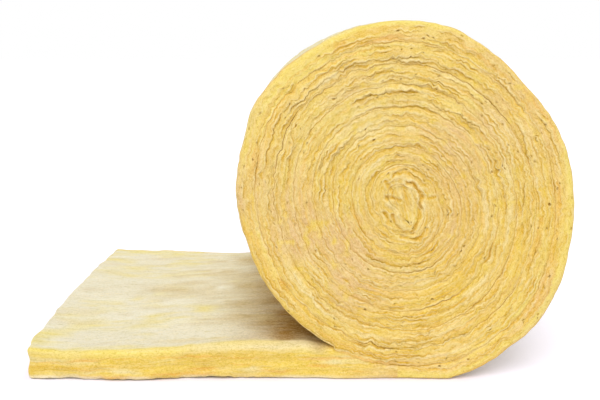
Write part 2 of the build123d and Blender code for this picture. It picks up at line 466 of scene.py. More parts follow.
def end_face(columns, ledges, seed):
    """Shape and colour of one end of the sheet: points in its plane, how deep each lies, and colours."""
    rows = ROWS
    share = np.linspace(0, 1, rows + 1)[None, :]
    inward = share * columns.depth[:, None]
    flat = columns.outer[:, None, :] - columns.outward[:, None, :] * inward[:, :, None]
    x, z = flat[..., 0], flat[..., 1]
    along = np.broadcast_to(columns.along[:, None], inward.shape)
    turned = columns.angle % TURN
    radius = np.hypot(x, z - AXIS_HEIGHT)
    in_roll = smooth_step(along, -0.02, 0.10)

    # Layers stay calm close to the outside of the roll and to the top of the laid-out end
    from_outline = np.where(columns.angle[:, None] < WEDGE_ANGLE, inward, inward + 0.02)
    from_top = np.where(columns.along[:, None] < WEDGE_X, columns.depth[:, None] - inward, 1.0)
    calm = smooth_step(np.minimum(from_outline, from_top), 0.0, 0.012)
    at_tongue = in_tongue(columns)[:, None]
    calm = calm * (1 - at_tongue * smooth_step(share, 0.55, 0.95))

    # Elsewhere they wander in and out, in wide waves with crumples on them
    wander = 0.0022 * noise(x / 0.085, z / 0.085, seed)
    crumple = 0.0010 * (1 - 2.5 * np.abs(noise(x / 0.020, z / 0.020, seed + 1)))
    at_outer = kinked(np.where(columns.along < 0, columns.along, length_at(columns.angle)), seed + 5)
    at_inner = kinked(length_at(np.minimum(columns.inner_angle, CORE_ANGLE)), seed + 5)
    buckled = (0.35 + 0.65 * np.abs(np.cos(turned)))[:, None] * smooth_step(radius, 0.01, 0.05)
    crumple = crumple + 0.0021 * buckled * (at_outer * (1 - share) + at_inner * share)
    ripple = 0.0014 * (1 - 2.5 * np.abs(noise(along / 0.0075, inward / 0.0065, seed + 2)))
    ripple = ripple * smooth_step(share * (1 - share), 0, 0.12)
    outward = (0.4 + 0.6 * in_roll) * calm * (wander + crumple + ripple)
    lump = np.zeros(len(turned))
    for place, height, wide in OUTLINE_LUMPS:
        away = np.degrees(turned) - place
        lump += height / 1000 * np.exp(-((away / wide) ** 2))
    way = turned * OUTER_RADIUS
    lump += 0.0011 * noise(way / 0.030, 0.5, seed + 3) + 0.0008 * noise(way / 0.011, 1.5, seed + 4)
    from_outside = np.where(columns.angle < TURN, 0, columns.angle // TURN)[:, None] * TURN_PITCH + inward
    bulge = lump[:, None] * np.clip(1 - from_outside / 0.07, 0, 1) * smooth_step(along, 0.02, 0.15)
    bulge = bulge * np.where(columns.angle[:, None] < WEDGE_ANGLE - 0.15, 1.0, smooth_step(from_outside, 0, 0.01))

    # Broad swells of the end, and layers that stand out of it by different amounts
    relief = 0.0030 * noise(x / 0.075, z / 0.075, seed + 11)
    warp = 0.0022 * noise(along / 0.030, inward / 0.010, seed + 15)
    lamina = 0.0006 * noise(along / 0.060, (inward + warp) / 0.0034, seed + 12)
    lamina = lamina + 0.0005 * noise(along / 0.020, (inward + warp) / 0.0019, seed + 13)
    height, layer_lip, hollow = thin_layers(along, inward, seed + 16)
    # The layers show less at the roll's sides and in some patches of its end
    shown = (0.45 + 0.55 * np.abs(np.cos(turned)))[:, None]
    shown = shown * (0.40 + 0.85 * smooth_step(noise(x / 0.050, z / 0.050, seed + 17), -0.4, 0.4))
    lamina = lamina + 0.0018 * height * shown
    layer_lip, hollow = layer_lip * shown, hollow * shown
    # Turns run into each other on the roll's end, and so do both halves of the tongue
    lamina = lamina * np.where(columns.along[:, None] < 0, 1, 0.35 + 0.65 * smooth_step(share * (1 - share), 0, 0.05))
    quiet = 1 - at_tongue * smooth_step(share, 0.60, 0.95)
    lamina, layer_lip, hollow = lamina * quiet, layer_lip * quiet, hollow * quiet
    # By the outline the layers lie smooth
    smooth = 0.25 + 0.75 * smooth_step(np.minimum(from_outline, from_top), 0.004, 0.022)
    layer_lip, hollow = layer_lip * smooth, hollow * smooth
    relief = relief + lamina * smooth * (0.85 + 0.15 * in_roll)
    relief = relief + 0.0013 * in_roll * (4 * share * (1 - share) - 0.7) * quiet
    relief = relief + 0.0005 * noise(x / 0.006, z / 0.006, seed + 14)
    lip = 0.55 * layer_lip
    crack = np.zeros_like(inward)
    pinned = inward.copy()

    everywhere = np.arange(rows + 1)[None, :]
    for ledge in ledges:
        middle = float(ledge.distance.mean())
        for lap in (0, TURN, -TURN):
            here = (turned + lap > ledge.turned[0]) & (turned + lap < ledge.turned[-1]) & (columns.along > 0)
            places = np.flatnonzero(here)
            if not len(places):
                continue
            distance, lift, level = ledge.at(turned[places] + lap, middle)
            offset = distance[:, None] - radius[places]
            near = np.abs(offset).min(axis=1) < 0.03
            places, lift, level, offset = places[near], lift[near], level[near], offset[near]
            inside = offset > 0
            rise = np.where(inside, 0.30 * np.exp(-offset / 0.006), np.exp(offset / 0.008))
            outward[places] += lift[:, None] * rise * calm[places]
            step = np.where(inside, -0.7 * np.exp(-offset / 0.005), np.exp(offset / 0.006))
            relief[places] += ledge.step * level[:, None] * step
            # Painted shade in the bed just inside the ledge
            bed = np.where(inside, 0.75 * np.exp(-offset / 0.0035), 0) * level[:, None]
            hollow[places] = np.maximum(hollow[places], bed)
            last = (~inside).sum(axis=1) - 1
            crossed = (last >= 1) & (last < rows - 1)
            places, last, lift, level = places[crossed], last[crossed], lift[crossed], level[crossed]
            offset = offset[crossed]
            if not len(places):
                continue
            index = np.arange(len(places))
            line = inward[places, last] - offset[index, last]
            pinned[places, last] = line
            pinned[places, last + 1] = line + 0.00030 + 0.2 * lift
            # Painted highlight on the ledge's lip, and painted shade at the foot of its step
            lip[places, last - 1] = np.maximum(lip[places, last - 1], ledge.lip * level)
            lip[places, last] = 0.35 * ledge.lip * level
            for row, part in ((last, 0.6), (last + 1, 1.0), (last + 2, 0.5)):
                hollow[places, row] = np.maximum(hollow[places, row], part * level)
            # Each ledge's crack is real depth, and its brown is painted shade
            at_kink = (lift / max(ledge.heights.max(), 0.0005)) ** 2
            depth = ledge.brown * (level * (0.0004 + 0.12 * ledge.step) + 0.9 * lift * at_kink)
            crack[places, last + 1] = np.maximum(crack[places, last + 1], depth)

    # Pinholes, mostly small, some of them at the kinks: real dents, with painted shade in them
    rng = np.random.default_rng(seed + 30)
    if len(columns.along) > 40:
        count = int(len(columns.along) * 0.06)
        column = rng.integers(3, len(columns.along) - 3, count)
        row = rng.integers(4, rows - 3, count)
        in_wound_part = columns.along[column] > 0
        column, row = column[in_wound_part], row[in_wound_part]
        depth = rng.uniform(0.0006, 0.0026, len(row))
        wide = rng.uniform(0, 1, len(row))
        for beside, below, part in ((0, 0, 1.0), (1, 0, wide), (0, 1, 0.8 * wide), (1, 1, 0.4 * wide)):
            np.maximum.at(crack, (column + beside, row + below), depth * part)

    # Folds in the core: grooves and ridges in the relief, with painted shade in the grooves and a painted highlight on
    # the ridges and beside the grooves
    core = np.flatnonzero((radius < 0.085).any(axis=1) & (columns.along > 0))
    for fold, force in CORE_FOLDS:
        if not len(core):
            continue
        away = distance_to(x[core], z[core] - AXIS_HEIGHT, np.array(fold) / 1000)
        away = away + 0.0012 * noise(x[core] / 0.008, z[core] / 0.008, seed + 31)
        away = away + 0.0006 * noise(x[core] / 0.0035, z[core] / 0.0035, seed + 32)
        level = abs(force) * (0.9 + 0.35 * noise(x[core] / 0.012, z[core] / 0.012, seed + 33))
        if force < 0:
            relief[core] += level * 0.0022 * np.exp(-((away / 0.0038) ** 2))
            lip[core] = np.maximum(lip[core], 0.8 * level * np.exp(-((away / 0.0034) ** 2)))
            continue
        relief[core] += level * (0.0010 * np.exp(-(((away - 0.0045) / 0.002) ** 2)) - 0.0032 * np.exp(-((away / 0.0026) ** 2)))
        lip[core] = np.maximum(lip[core], 0.6 * level * np.exp(-(((away - 0.0045) / 0.0016) ** 2)))
        hollow[core] = np.maximum(hollow[core], 1.3 * level * np.exp(-((away / 0.0024) ** 2)))

    # Joins between turns: partly closed, partly open, with painted shade along them
    join = np.zeros_like(inward)
    for side, row in (("outer", 0), ("inner", rows)):
        hidden = columns.angle > WEDGE_ANGLE if side == "outer" else columns.along > WEDGE_X
        gap = join_gap(columns, side) * hidden
        crack[:, row] = np.maximum(crack[:, row], 0.0007 * gap)
        join[:, row] = 0.45 + 0.5 * gap

    outward = outward + bulge
    moved = pinned - outward
    moved[:, 0] = inward[:, 0] - outward[:, 0]
    moved[:, rows] = inward[:, rows] - outward[:, rows]
    least = np.minimum(0.0002, columns.depth * 0.3 / rows)
    for row in range(1, rows):
        moved[:, row] = np.maximum(moved[:, row], moved[:, row - 1] + least)
    for row in range(rows - 1, 0, -1):
        moved[:, row] = np.minimum(moved[:, row], moved[:, row + 1] - least)

    rim_outer = rim_radius(columns, "outer")
    rim_inner = rim_radius(columns, "inner")
    fall = quarter_round(inward, rim_outer[:, None])
    fall = fall + quarter_round(columns.depth[:, None] - inward, rim_inner[:, None])
    deep = crack - relief + fall + quarter_round(columns.along + TAIL_LENGTH, 0.007)[:, None]
    plane = columns.outer[:, None, :] - columns.outward[:, None, :] * moved[:, :, None]
    plane[..., 1] = np.maximum(plane[..., 1], 0.0)

    # How far each point lies below or above its surroundings, for painted shade in cavities and a painted highlight on
    # ridges
    cavity = (crack - relief) - blurred(crack - relief, 2, 3)
    face = {"plane": plane, "deep": deep, "crack": crack, "relief": relief, "lip": lip, "cavity": cavity}
    face.update(inward=inward, along=along, radius=radius, x=x, z=z, hollow=hollow, join=join)
    face["in_roll"] = (columns.along[:, None] > WEDGE_X) & ((columns.angle[:, None] > WEDGE_ANGLE) | (inward > 0.001))
    face["tint"] = end_colours(columns, face, seed)
    return face


def skin(columns, side, count, near, far):
    """Points over the sheet's outer or inner skin, between its two ends, without the end rows."""
    edge = 0 if side == "outer" else -1
    seed = SKIN_SEED + (0 if side == "outer" else 100)
    near_y = -WIDTH / 2 + near["deep"][:, edge]
    far_y = WIDTH / 2 - far["deep"][:, edge]
    share = np.arange(1, count) / count
    # Closer together near the ends
    share = 0.5 - 0.5 * np.sign(0.5 - share) * np.abs(1 - 2 * share) ** 0.75
    across = near_y[:, None] + (far_y - near_y)[:, None] * share[None, :]
    near_plane = near["plane"][:, edge]
    far_plane = far["plane"][:, edge]
    plane = near_plane[:, None, :] * (1 - share[None, :, None]) + far_plane[:, None, :] * share[None, :, None]

    along = np.broadcast_to(columns.along[:, None], across.shape)
    crease = np.abs(noise(along / 0.045 + 0.6 * noise(along / 0.2, across / 0.15, seed + 34), across / 0.35, seed + 35))
    swell = 0.0020 * noise(along / 0.11, across / 0.14, seed + 31)
    swell = swell + 0.0012 * noise(along / 0.035, across / 0.05, seed + 32)
    swell = swell + 0.0005 * noise(along / 0.014, across / 0.010, seed + 33)
    swell = swell - 0.0016 * np.clip(1 - crease / 0.12, 0, 1) * smooth_step(along, -0.05, 0.1)
    hidden = columns.angle > WEDGE_ANGLE if side == "outer" else columns.along > WEDGE_X
    from_end = np.minimum(across - near_y[:, None], far_y[:, None] - across)
    shown = smooth_step(from_end, 0.0, 0.03) * smooth_step(columns.along + TAIL_LENGTH, 0, 0.03)[:, None]
    swell = swell * shown * np.where(hidden, 0.1, 1.0)[:, None]
    direction = columns.outward if side == "outer" else -columns.outward
    tucked = np.where(hidden, 0.0012, 0.0)[:, None] * smooth_step(from_end, 0.0, 0.01)
    plane = plane + direction[:, None, :] * (swell - tucked)[:, :, None]
    plane[..., 1] = np.maximum(plane[..., 1], 0.0)
    tint = skin_colours(along, across, seed)
    if side == "outer":
        tint = blend(tint, SKIN_YELLOW, 0.35 + 0 * along)
    tint[hidden] = linear(DEEP_YELLOW)
    return {"plane": plane, "across": across, "along": along, "tint": tint}


# Colours, as they look in plain light
YELLOW = (0.918, 0.806, 0.470)
OUTER_YELLOW = (0.978, 0.866, 0.485)
DEEP_YELLOW = (0.943, 0.794, 0.330)
CORE_GOLD = (0.880, 0.735, 0.360)
LEMON = (0.938, 0.845, 0.485)
ORANGE = (0.930, 0.722, 0.310)
SPOT_YELLOW = (0.955, 0.835, 0.340)
OUTER_GOLD = (0.955, 0.800, 0.370)
CREAM = (0.972, 0.895, 0.650)
TAN = (0.909, 0.766, 0.540)
FRONT_LEMON = (0.945, 0.828, 0.350)
FRONT_GOLD = (0.905, 0.745, 0.270)
FRONT_PALE = (0.945, 0.885, 0.650)
RUFFLE_WHITE = (0.985, 0.945, 0.820)
SKIN_PALE = (0.945, 0.925, 0.865)
SKIN_WHITE = (0.975, 0.965, 0.925)
SKIN_YELLOW = (0.955, 0.900, 0.610)
SKIN_TAN = (0.865, 0.795, 0.650)
BAND_YELLOW = (0.972, 0.890, 0.480)
RIM_ORANGE = (0.940, 0.745, 0.400)
BAND_PALE = (0.930, 0.870, 0.700)
# Painted shade where the roll shades the laid-out end
WEDGE_SHADE_BROWN = (0.640, 0.455, 0.160)
# Painted shade in hollows, cavities and joins
HOLLOW_SHADE_GOLD = (0.885, 0.702, 0.185)
# Painted shade in cracks and pinholes
CRACK_SHADE_BROWN = (0.620, 0.430, 0.090)


def linear(colour):
    """A colour as the renderer takes it, from the colour as it looks."""
    colour = np.asarray(colour, float)
    return np.where(colour <= 0.04045, colour / 12.92, ((colour + 0.055) / 1.055) ** 2.4)


def blend(first, second, share):
    return first + (linear(second) - first) * np.clip(share, 0, 1)[..., None]


def end_colours(columns, face, seed):
    """Colour of each point of an end: yellow layers, paler and tan ones, painted highlights on raised parts and lips,
    and painted shade in low parts, hollows, joins and the brown cracks.
    """
    x, z, radius = face["x"], face["z"], face["radius"]
    along, inward = face["along"], face["inward"]
    outermost = np.where(along < 0, 1.0, smooth_step(radius, 0.16, 0.24))
    warp = 0.003 * noise(along / 0.05, inward / 0.01, seed + 40)
    colour = np.broadcast_to(linear(YELLOW), x.shape + (3,)).copy()
    colour = blend(colour, OUTER_YELLOW, 0.8 * outermost)
    lemon = 0.05 + 1.3 * noise(x / 0.045, z / 0.045, seed + 39)
    colour = blend(colour, LEMON, lemon)
    low_right = 0.5 + 0.5 * np.cos(columns.angle - 0.6)[:, None] * (columns.along[:, None] > 0)
    colour = blend(colour, DEEP_YELLOW, 0.46 * low_right - 0.04)
    colour = blend(colour, CORE_GOLD, 0.55 * (1 - smooth_step(radius, 0.03, 0.09)))
    pale = 0.15 + 1.3 * noise(along / 0.10, (inward + warp) / 0.007 + 10, seed + 41)
    pale = pale + 0.6 * noise(along / 0.03, (inward + warp) / 0.0025 + 20, seed + 42) - 0.15 * outermost
    colour = blend(colour, CREAM, 0.8 * pale)
    deep = 0.08 + 0.8 * noise(along / 0.10, (inward + warp) / 0.006 + 30, seed + 43)
    deep = deep + 0.6 * noise(along / 0.03, (inward + warp) / 0.002 + 50, seed + 44) + 0.15 * outermost
    colour = blend(colour, DEEP_YELLOW, 0.85 * deep)
    tan = 0.05 + 1.4 * noise(x / 0.075, z / 0.075, seed + 45) + 0.6 * noise(along / 0.04, inward / 0.003, seed + 46)
    colour = blend(colour, TAN, 0.65 * tan * smooth_step(radius, 0.02, 0.08))
    spots = -0.5 + 1.5 * noise(x / 0.010, z / 0.010, seed + 53)
    colour = blend(colour, SPOT_YELLOW, 0.8 * spots)
    orange = -0.60 + 1.2 * noise(along / 0.05, inward / 0.003, seed + 48)
    colour = blend(colour, ORANGE, orange)
    gold = -0.35 + 1.4 * noise(along / 0.07, inward / 0.010 + 11, seed + 55)
    colour = blend(colour, OUTER_GOLD, gold * outermost * (along > 0))
    by_rim = np.where(along > 0, smooth_step(radius, 0.20, 0.25), 0)
    bright = 0.05 + 1.5 * noise(along / 0.16, inward / 0.0055 + 21, seed + 56)
    colour = blend(colour, BAND_YELLOW, 0.8 * bright * by_rim)
    dull = -0.10 + 1.5 * noise(along / 0.14, inward / 0.0045 + 31, seed + 57)
    colour = blend(colour, RIM_ORANGE, 0.8 * dull * by_rim)
    # Painted light and shade on the relief: raised layers, ridges and lips are painted paler as highlight, and low
    # layers, cavities and hollows are painted deeper yellow and gold as shade
    colour = blend(colour, CREAM, 130 * (face["relief"] - 0.0016))
    colour = blend(colour, DEEP_YELLOW, -130 * (face["relief"] + 0.0006))
    colour = blend(colour, CREAM, -800 * (face["cavity"] + 0.0001))
    colour = blend(colour, HOLLOW_SHADE_GOLD, np.minimum(1, 900 * (face["cavity"] - 0.0001)))
    colour = blend(colour, HOLLOW_SHADE_GOLD, 0.95 * face["hollow"])
    colour = blend(colour, CREAM, 0.85 * face["lip"])
    if seed == NEAR_SEED:
        for patches, shade in ((PALE_PATCHES, CREAM), (BRIGHT_PATCHES, SPOT_YELLOW), (ORANGE_PATCHES, ORANGE)):
            for path, wide, force in patches:
                away = distance_to(x, z - AXIS_HEIGHT, np.array(path) / 1000)
                ragged = 0.5 + 0.7 * noise(along / 0.025, (inward + warp) / 0.0022, seed + 68)
                colour = blend(colour, shade, force * np.exp(-((away * 1000 / wide) ** 2)) * ragged)
    # The laid-out end is a clearer yellow, bright along its top, and pale along ruffles at its foot
    front = smooth_step(-along, -0.02, 0.10)
    colour = blend(colour, FRONT_LEMON, 0.75 * front)
    patch = -0.40 + 1.2 * noise(along / 0.07, inward / 0.016 + 7, seed + 49)
    patch = patch + 0.6 * noise(along / 0.025, inward / 0.003 + 7, seed + 50)
    colour = blend(colour, FRONT_PALE, front * patch)
    streak = -0.35 + 1.5 * noise(along / 0.06, inward / 0.0035 + 3, seed + 52)
    colour = blend(colour, ORANGE, front * streak)
    seam = np.exp(-(((inward - 0.021 - 0.02 * (along + 0.5)) / 0.0065) ** 2)) * (1 - smooth_step(along, -0.46, -0.36))
    seam = seam * (0.75 + 0.6 * noise(along / 0.05, inward / 0.0025, seed + 67))
    colour = blend(colour, FRONT_GOLD, 0.9 * seam)
    from_top = columns.depth[:, None] - inward
    band = (1 - smooth_step(from_top, 0.003, 0.014)) * (1 - smooth_step(along, WEDGE_X - 0.03, WEDGE_X))
    colour = blend(colour, BAND_YELLOW, 0.85 * band)
    by_roll = smooth_step(along, -0.42, -0.22) + 0.5 * noise(along / 0.05, from_top / 0.006, seed + 54)
    colour = blend(colour, BAND_PALE, 0.8 * band * by_roll)
    # Painted shade: brown on the top band where it meets the roll
    colour = blend(colour, WEDGE_SHADE_BROWN, 0.6 * band * smooth_step(along, WEDGE_X - 0.05, WEDGE_X - 0.015))
    foot = (1 - smooth_step(inward, 0.003, 0.010)) * front
    foot = foot * smooth_step(noise(along / 0.040, 0 * along + 2.5, 74 if seed == NEAR_SEED else 76), -0.5, 0.3)
    colour = blend(colour, RUFFLE_WHITE, 0.9 * foot)
    # The pale skin on both sides of the sheet shows along its edges
    to_skin = np.minimum(inward, columns.depth[:, None] - inward)
    patchy = 0.25 + 0.7 * noise(along / 0.05, 0 * along, seed + 47)
    colour = blend(colour, CREAM, 0.8 * patchy * smooth_step(to_skin, 0, 0.001) * (1 - smooth_step(to_skin, 0.001, 0.003)))
    # Painted shade along the joins between turns
    colour = blend(colour, HOLLOW_SHADE_GOLD, 0.8 * face["join"] * face["in_roll"])
    # Painted shade: brown in the cracks and pinholes
    return blend(colour, CRACK_SHADE_BROWN, face["crack"] / 0.0022)


def skin_colours(along, across, seed):
    """Colour of the skins: pale, with soft yellow patches, and painted shade towards the roll where the laid-out end
    runs under it.
    """
    colour = np.broadcast_to(linear(SKIN_PALE), along.shape + (3,)).copy()
    by_cut_edge = 1 - smooth_step(along + TAIL_LENGTH, 0.01, 0.14)
    cloud = rough_noise(along / 0.10, across / 0.06, seed + 51)
    yellow = -0.08 + 1.3 * cloud + 0.5 * noise(along / 0.035, across / 0.006, seed + 58) + 0.45 * by_cut_edge
    colour = blend(colour, SKIN_YELLOW, 0.9 * yellow)
    # The tan patches are the skin's own; the extra tan and lesser white towards the roll are painted shade
    by_roll = smooth_step(along, -0.50, -0.20) * (along < 0)
    tan = -0.20 + 1.0 * rough_noise(along / 0.13, across / 0.07, seed + 55)
    tan = tan + 0.6 * noise(along / 0.06, across / 0.005, seed + 59) + 0.75 * by_roll
    colour = blend(colour, SKIN_TAN, 0.85 * tan)
    pale = -0.15 + 1.5 * rough_noise(along / 0.06, across / 0.030, seed + 60)
    pale = pale + 0.5 * noise(along / 0.03, across / 0.005, seed + 61)
    colour = blend(colour, SKIN_WHITE, 0.8 * pale - 0.35 * by_roll)
    edge = WIDTH / 2 - np.abs(across)
    # Painted shade: brown in the wedge where the laid-out end meets the roll
    wedge_shade = smooth_step(along, WEDGE_X - 0.20, WEDGE_X - 0.03) * (along < 0)
    mottled = 1 + 0.30 * rough_noise(along / 0.06, across / 0.03, seed + 62) + 0.2 * noise(along / 0.03, across / 0.006, seed + 64)
    colour = blend(colour, WEDGE_SHADE_BROWN, wedge_shade * mottled * smooth_step(edge, -0.004, 0.012))
    fringe = 1 - smooth_step(edge, 0.002, 0.018 + 0.008 * noise(along / 0.05, 0.5, seed + 63))
    colour = blend(colour, SKIN_YELLOW, 0.95 * fringe * (1 - wedge_shade))
    wisps = 0.1 + 1.2 * noise(along / 0.07, edge / 0.006, seed + 65) + 0.4 * noise(along / 0.02, edge / 0.002, seed + 66)
    wisps = wisps * smooth_step(along, -0.45, -0.28) * (1 - smooth_step(edge, 0.025, 0.06))
    return blend(colour, BAND_PALE, wisps * (1 - wedge_shade) * (along < 0))


def end_cap(near_edge, far_edge, outer_edge, inner_edge):
    """A grid of points that fills the space between the sheet's four edges at one place along it."""
    count = len(near_edge)
    across = len(outer_edge)
    down = np.linspace(0, 1, count)[:, None, None]
    over = np.linspace(0, 1, across)[None, :, None]
    sides = near_edge[:, None] * (1 - over) + far_edge[:, None] * over
    skins = outer_edge[None, :] * (1 - down) + inner_edge[None, :] * down
    corners = (near_edge[0] * (1 - over) + far_edge[0] * over) * (1 - down)
    corners = corners + (near_edge[-1] * (1 - over) + far_edge[-1] * over) * down
    return (sides + skins - corners)[1:-1, 1:-1]


def sheet_mesh(name, columns, outer_count, inner_count, ledges, cut_edge):
    """One length of the sheet as a closed mesh: two ends, two skins and a cap at each side."""
    near = end_face(columns, ledges[0], NEAR_SEED)
    far = end_face(columns, ledges[1], FAR_SEED)
    inner = skin(columns, "inner", inner_count, near, far)
    outer = skin(columns, "outer", outer_count, near, far)
    near_y = -WIDTH / 2 + near["deep"]
    far_y = WIDTH / 2 - far["deep"]

    def ring_of(near_part, inner_part, far_part, outer_part):
        return np.concatenate([near_part, inner_part, far_part[:, ::-1], outer_part[:, ::-1]], axis=1)

    plane = ring_of(near["plane"], inner["plane"], far["plane"], outer["plane"])
    ring_y = ring_of(near_y, inner["across"], far_y, outer["across"])
    ring_inward = ring_of(
        near["inward"], columns.depth[:, None] + 0 * inner["across"], far["inward"], 0 * outer["across"]
    )
    tint = ring_of(near["tint"], inner["tint"], far["tint"], outer["tint"])
    count, ring = ring_y.shape
    points = np.stack([plane[..., 0], ring_y, plane[..., 1]], -1)
    along = np.broadcast_to(columns.along[:, None], ring_y.shape)
    flow = np.stack([along, ring_inward, ring_y], -1)

    column, place = np.meshgrid(np.arange(count - 1), np.arange(ring), indexing="ij")
    following = (place + 1) % ring
    quads = np.stack(
        [
            column * ring + place,
            (column + 1) * ring + place,
            (column + 1) * ring + following,
            column * ring + following,
        ],
        -1,
    ).reshape(-1, 4)

    every = [quads]
    all_points = [points.reshape(-1, 3)]
    all_flow = [flow.reshape(-1, 3)]
    all_tint = [tint.reshape(-1, 3)]
    near_edge = np.arange(ROWS + 1)
    inner_edge = np.arange(ROWS, ROWS + inner_count + 1)
    far_edge = np.arange(ROWS + inner_count, 2 * ROWS + inner_count + 1)[::-1]
    outer_edge = np.append(np.arange(2 * ROWS + inner_count, ring), 0)[::-1]
    edges = (near_edge, far_edge, outer_edge, inner_edge)
    for start, flipped in ((0, False), ((count - 1) * ring, True)):
        if cut_edge and not flipped:
            cap = cut_edge_faces(start, count * ring, edges)
            all_points.append(end_cap(*(points[0][edge] for edge in edges)).reshape(-1, 3))
            turned_flow = end_cap(*(flow[0][edge] for edge in edges))[..., ::-1]
            all_flow.append(turned_flow.reshape(-1, 3))
            all_tint.append(cut_edge_colours(turned_flow.shape[:2]).reshape(-1, 3))
        else:
            cap = hidden_cap_faces(start, edges)
        every.append(cap[:, ::-1] if flipped else cap)

    corners = np.concatenate(all_points)
    faces = np.concatenate(every)
    cap_faces = [len(part) for part in every[1:]]
    map_corners = unwrapped(count, (ROWS, inner_count, ROWS, outer_count), columns, cap_faces, cut_edge)
    if cut_edge:
        corners = worn_tail(corners)
    mesh = bpy.data.meshes.new(name)
    mesh.from_pydata(corners.tolist(), [], [face[face >= 0].tolist() for face in faces])
    mesh.polygons.foreach_set("use_smooth", np.ones(len(mesh.polygons), bool))
    sizes = (faces >= 0).sum(axis=1)
    kept = np.arange(4)[None, :] < sizes[:, None]
    layer = mesh.uv_layers.new(name="OFBake")
    layer.data.foreach_set("uv", map_corners[kept].ravel())
    attribute = mesh.attributes.new("flow", "FLOAT_VECTOR", "POINT")
    attribute.data.foreach_set("vector", np.concatenate(all_flow).ravel())
    shade = np.concatenate(all_tint)
    colours = mesh.color_attributes.new("tint", "FLOAT_COLOR", "POINT")
    colours.data.foreach_set("color", np.concatenate([shade, np.ones((len(shade), 1))], 1).ravel())
    # The sheet goes on in the next piece, so shading breaks cleanly where this one stops
    ends = np.zeros(len(mesh.edges) * 2, int)
    mesh.edges.foreach_get("vertices", ends)
    ends = ends.reshape(-1, 2)
    sharp = (ends >= (count - 1) * ring).all(1) & (ends < count * ring).all(1)
    if not cut_edge:
        sharp |= (ends < ring).all(1)
    mesh.attributes.new("sharp_edge", "BOOLEAN", "EDGE").data.foreach_set("value", sharp)
    mesh.update()
    piece = bpy.data.objects.new(name, mesh)
    bpy.context.scene.collection.objects.link(piece)
    return piece


def unwrapped(count, ring_counts, columns, cap_faces, cut_edge):
    """Places on the texture for the corners of all faces: the ends and skins as strips, the caps small."""
    along = columns.along - columns.along[0]
    length = along[-1]
    visible_outer = columns.angle[len(columns.angle) // 2] < WEDGE_ANGLE and not cut_edge
    depth = float(columns.depth.mean())
    # How tall each part is on the texture, relative to its true height, and in how many strips it lies
    tall = [depth, WIDTH if cut_edge else 0.0, depth, WIDTH if visible_outer else 0.0]
    parts = [height if height else 0.02 for height in tall]
    total_area = length * sum(parts) * 1.15
    scale = math.sqrt(0.93 / total_area)
    strips = [max(1, math.ceil(length * scale * (0.96 if height else 0.3))) for height in tall]
    heights = [number * part for number, part in zip(strips, parts)]
    heights = [0.90 * height / sum(heights) for height in heights]
    place = np.empty((count - 1, sum(ring_counts), 4, 2))
    bottom = 0.05
    first = 0
    for cells, number, height in zip(ring_counts, strips, heights):
        per_strip = math.ceil((count - 1) / number)
        column = np.arange(count - 1)
        strip, local = column // per_strip, column % per_strip
        left = 0.01 + 0.98 * local / per_strip
        right = 0.01 + 0.98 * (local + 1) / per_strip
        cell = np.arange(cells)
        gutter = min(0.0045, 0.15 * height / number)
        step = (height / number - 2 * gutter) / cells
        low = bottom + strip[:, None] * height / number + gutter + cell[None, :] * step
        part = place[:, first:first + cells]
        part[:, :, 0, 0] = part[:, :, 3, 0] = left[:, None]
        part[:, :, 1, 0] = part[:, :, 2, 0] = right[:, None]
        part[:, :, 0, 1] = part[:, :, 1, 1] = low
        part[:, :, 2, 1] = part[:, :, 3, 1] = low + step
        bottom += height
        first += cells
    every = [place.reshape(-1, 4, 2)]
    for number, faces in enumerate(cap_faces):
        cap = np.empty((faces, 4, 2))
        index = np.arange(faces)
        across = faces // ROWS if cut_edge and number == 0 else faces
        row, cell = index // across, index % across
        height = 0.030 / max(1, math.ceil(faces / across)) if across < faces else 0.004
        base = 0.004 if across < faces else 0.038 + 0.006 * number
        cap[:, 0, 0] = cap[:, 1, 0] = 0.01 + 0.98 * cell / across
        cap[:, 2, 0] = cap[:, 3, 0] = 0.01 + 0.98 * (cell + 1) / across
        cap[:, 0, 1] = cap[:, 3, 1] = base + row * height
        cap[:, 1, 1] = cap[:, 2, 1] = base + (row + 1) * height
        every.append(cap[:, ::-1] if number else cap)
    return np.concatenate(every)


def cut_edge_faces(start, first_new, edges):
    """Faces of the grid that closes the cut edge, whose inner points are numbered from first_new."""
    near_edge, far_edge, outer_edge, inner_edge = edges
    rows, across = len(near_edge) - 1, len(outer_edge) - 1
    index = np.zeros((rows + 1, across + 1), int)
    index[:, 0] = start + near_edge
    index[:, -1] = start + far_edge
    index[0, :] = start + outer_edge
    index[-1, :] = start + inner_edge
    index[1:-1, 1:-1] = first_new + np.arange((rows - 1) * (across - 1)).reshape(rows - 1, across - 1)
    return np.stack([index[:-1, :-1], index[1:, :-1], index[1:, 1:], index[:-1, 1:]], -1).reshape(-1, 4)


def hidden_cap_faces(start, edges):
    """Faces that close the sheet where it goes on in the next piece: long strips from end to end."""
    near_edge, far_edge, outer_edge, inner_edge = edges
    faces = []
    for row in range(1, len(near_edge) - 2):
        faces.append((near_edge[row], near_edge[row + 1], far_edge[row + 1], far_edge[row]))
    outer_path = list(outer_edge) + [far_edge[1]]
    for here, there in zip(outer_path[:-1], outer_path[1:]):
        faces.append((near_edge[1], there, here, -1))
    inner_path = list(inner_edge) + [far_edge[-2]]
    for here, there in zip(inner_path[:-1], inner_path[1:]):
        faces.append((near_edge[-2], here, there, -1))
    faces = np.array(faces)
    return np.where(faces < 0, -1, faces + start)


def cut_edge_colours(shape):
    """Colour of the cut edge of the laid-out end, layered like the roll's ends."""
    inward, across = np.meshgrid(np.linspace(0, THICKNESS, shape[0]), np.linspace(0, WIDTH, shape[1]), indexing="ij")
    colour = np.broadcast_to(linear(YELLOW), shape + (3,)).copy()
    colour = blend(colour, CREAM, 0.3 + 0.9 * noise(across / 0.10, inward / 0.006, 61))
    return blend(colour, DEEP_YELLOW, 0.2 + 0.8 * noise(across / 0.08, inward / 0.005, 62))


